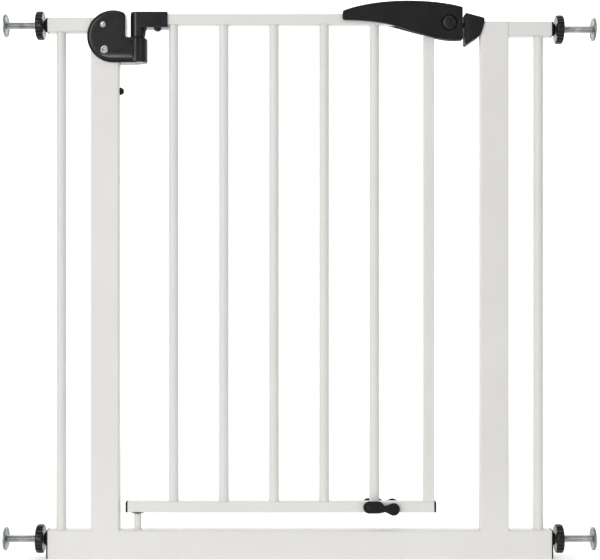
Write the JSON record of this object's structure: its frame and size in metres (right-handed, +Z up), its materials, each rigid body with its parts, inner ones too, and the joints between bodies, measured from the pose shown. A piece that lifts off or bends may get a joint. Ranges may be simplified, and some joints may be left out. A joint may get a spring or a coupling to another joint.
{
  "type": "safety baby gate",
  "caption": "Pressure-fit doorway safety gate: white tube frame, barred leaf on a sleeved hinge, push-button latch handle, swing stopper and screw-out wall pads.",
  "frame": {"origin": "on the floor, under the middle of the gate: the centre of the bounding box in plan, at the bottom rail's underside", "axes": "+X across the doorway from the hinge side to the latch side, -Y towards the front with the button, +Z up"},
  "size_m": [0.83, 0.04, 0.7818],
  "materials": {
    "powder_coat": "satin white powder coat",
    "black_plastic": "fine-textured moulded black plastic",
    "housing_plastic": "smooth glossy black plastic",
    "grey_plastic": "satin dark grey plastic",
    "zinc_steel": "bright zinc plate",
    "black_steel": "black coated steel",
    "spring_steel": "drawn spring wire"
  },
  "bodies": {
    "frame": {"bottom_rail": "powder_coat", "catch_body": "black_plastic", "catch_screw": "zinc_steel", "closing_spring": "spring_steel", "hinge_housing_front": "housing_plastic", "hinge_housing_rear": "housing_plastic", "hinge_post": "powder_coat", "hinge_side_bar": "powder_coat", "hinge_stub_rail": "powder_coat", "housing_screw_lower": "zinc_steel", "housing_screw_upper": "zinc_steel", "latch_post": "powder_coat", "latch_post_cap": "powder_coat", "latch_side_bar": "powder_coat", "latch_stub_rail": "powder_coat", "lower_pivot_stud": "zinc_steel", "post_bumper": "black_plastic", "tube_bush_bottom_hinge": "black_plastic", "tube_bush_bottom_latch": "black_plastic", "tube_bush_top_hinge": "black_plastic", "tube_bush_top_latch": "black_plastic"},
    "hinge_sleeve_body": {"hinge_sleeve": "grey_plastic"},
    "leaf": {"bolt_spring": "spring_steel", "bracket_screw": "zinc_steel", "handle_front_cover": "black_plastic", "handle_rear_cover": "black_plastic", "handle_screw_1": "zinc_steel", "handle_screw_2": "zinc_steel", "hinge_bracket": "black_plastic", "hinge_pin": "zinc_steel", "leaf_bar_1": "powder_coat", "leaf_bar_2": "powder_coat", "leaf_bar_3": "powder_coat", "leaf_bar_4": "powder_coat", "leaf_bar_5": "powder_coat", "leaf_bottom_rail": "powder_coat", "leaf_cap_hinge_end": "black_plastic", "leaf_cap_latch_end": "black_plastic", "leaf_stile": "powder_coat", "leaf_top_rail": "powder_coat", "lower_pivot_bush": "grey_plastic", "toggle_rivet": "black_steel"},
    "latch_bolt_body": {"latch_bolt": "black_steel"},
    "thumb_button_body": {"thumb_button": "black_plastic"},
    "stopper_front": {"stopper_toggle_front": "black_plastic"},
    "stopper_rear": {"stopper_toggle_rear": "black_plastic"},
    "wheel_top_hinge": {"hand_wheel_top_hinge": "grey_plastic"},
    "pad_top_hinge": {"threaded_rod_top_hinge": "zinc_steel", "wall_pad_top_hinge": "zinc_steel"},
    "wheel_top_latch": {"hand_wheel_top_latch": "grey_plastic"},
    "pad_top_latch": {"threaded_rod_top_latch": "zinc_steel", "wall_pad_top_latch": "zinc_steel"},
    "wheel_bottom_hinge": {"hand_wheel_bottom_hinge": "grey_plastic"},
    "pad_bottom_hinge": {"threaded_rod_bottom_hinge": "zinc_steel", "wall_pad_bottom_hinge": "zinc_steel"},
    "wheel_bottom_latch": {"hand_wheel_bottom_latch": "grey_plastic"},
    "pad_bottom_latch": {"threaded_rod_bottom_latch": "zinc_steel", "wall_pad_bottom_latch": "zinc_steel"}
  },
  "joints": [
    {"name": "leaf_swing", "type": "hinge", "parent": "frame", "child": "hinge_sleeve_body", "pos_m": [-0.228, 0, 0.722], "axis": [0, 0, 1], "range_deg": [-90, 90], "stiffness_Nm_per_rad": 1},
    {"name": "leaf_lift", "type": "slide", "parent": "hinge_sleeve_body", "child": "leaf", "axis": [0, 0, 1], "range_m": [0, 0.008]},
    {"name": "button_press", "type": "slide", "parent": "leaf", "child": "thumb_button_body", "axis": [0, 1, 0], "range_m": [0, 0.004], "stiffness_N_per_m": 900, "springref_m": -0.002},
    {"name": "bolt_draw", "type": "slide", "parent": "leaf", "child": "latch_bolt_body", "axis": [-1, 0, 0], "range_m": [-0.0001, 0.0066], "deforming": ["bolt_spring"]},
    {"name": "stopper_turn_front", "type": "hinge", "parent": "leaf", "child": "stopper_front", "pos_m": [0.0971, -0.0139, 0.0732], "axis": [0, 1, 0], "range_deg": [0, 90]},
    {"name": "stopper_turn_rear", "type": "hinge", "parent": "leaf", "child": "stopper_rear", "pos_m": [0.0971, 0.0139, 0.0732], "axis": [0, 1, 0], "range_deg": [0, 90]},
    {"name": "pad_screw_top_hinge", "type": "slide", "parent": "frame", "child": "pad_top_hinge", "axis": [-1, 0, 0], "range_m": [-0.034, 0.014]},
    {"name": "wheel_turn_top_hinge", "type": "hinge", "parent": "frame", "child": "wheel_top_hinge", "pos_m": [-0.3646, 0, 0.7488], "axis": [-1, 0, 0], "range_deg": [-8165, 3365]},
    {"name": "pad_screw_top_latch", "type": "slide", "parent": "frame", "child": "pad_top_latch", "axis": [1, 0, 0], "range_m": [-0.034, 0.014]},
    {"name": "wheel_turn_top_latch", "type": "hinge", "parent": "frame", "child": "wheel_top_latch", "pos_m": [0.3646, 0, 0.7433], "axis": [1, 0, 0], "range_deg": [-8165, 3365]},
    {"name": "pad_screw_bottom_hinge", "type": "slide", "parent": "frame", "child": "pad_bottom_hinge", "axis": [-1, 0, 0], "range_m": [-0.034, 0.014]},
    {"name": "wheel_turn_bottom_hinge", "type": "hinge", "parent": "frame", "child": "wheel_bottom_hinge", "pos_m": [-0.3646, 0, 0.027], "axis": [-1, 0, 0], "range_deg": [-8165, 3365]},
    {"name": "pad_screw_bottom_latch", "type": "slide", "parent": "frame", "child": "pad_bottom_latch", "axis": [1, 0, 0], "range_m": [-0.034, 0.014]},
    {"name": "wheel_turn_bottom_latch", "type": "hinge", "parent": "frame", "child": "wheel_bottom_latch", "pos_m": [0.3646, 0, 0.027], "axis": [1, 0, 0], "range_deg": [-8165, 3365]}
  ],
  "couplings": [
    {"joint": "bolt_draw", "follows": "button_press", "ratio": 1.625},
    {"joint": "wheel_turn_top_hinge", "follows": "pad_screw_top_hinge", "rad_per_m": 4188.8},
    {"joint": "wheel_turn_top_latch", "follows": "pad_screw_top_latch", "rad_per_m": 4188.8},
    {"joint": "wheel_turn_bottom_hinge", "follows": "pad_screw_bottom_hinge", "rad_per_m": 4188.8},
    {"joint": "wheel_turn_bottom_latch", "follows": "pad_screw_bottom_latch", "rad_per_m": 4188.8}
  ]
}
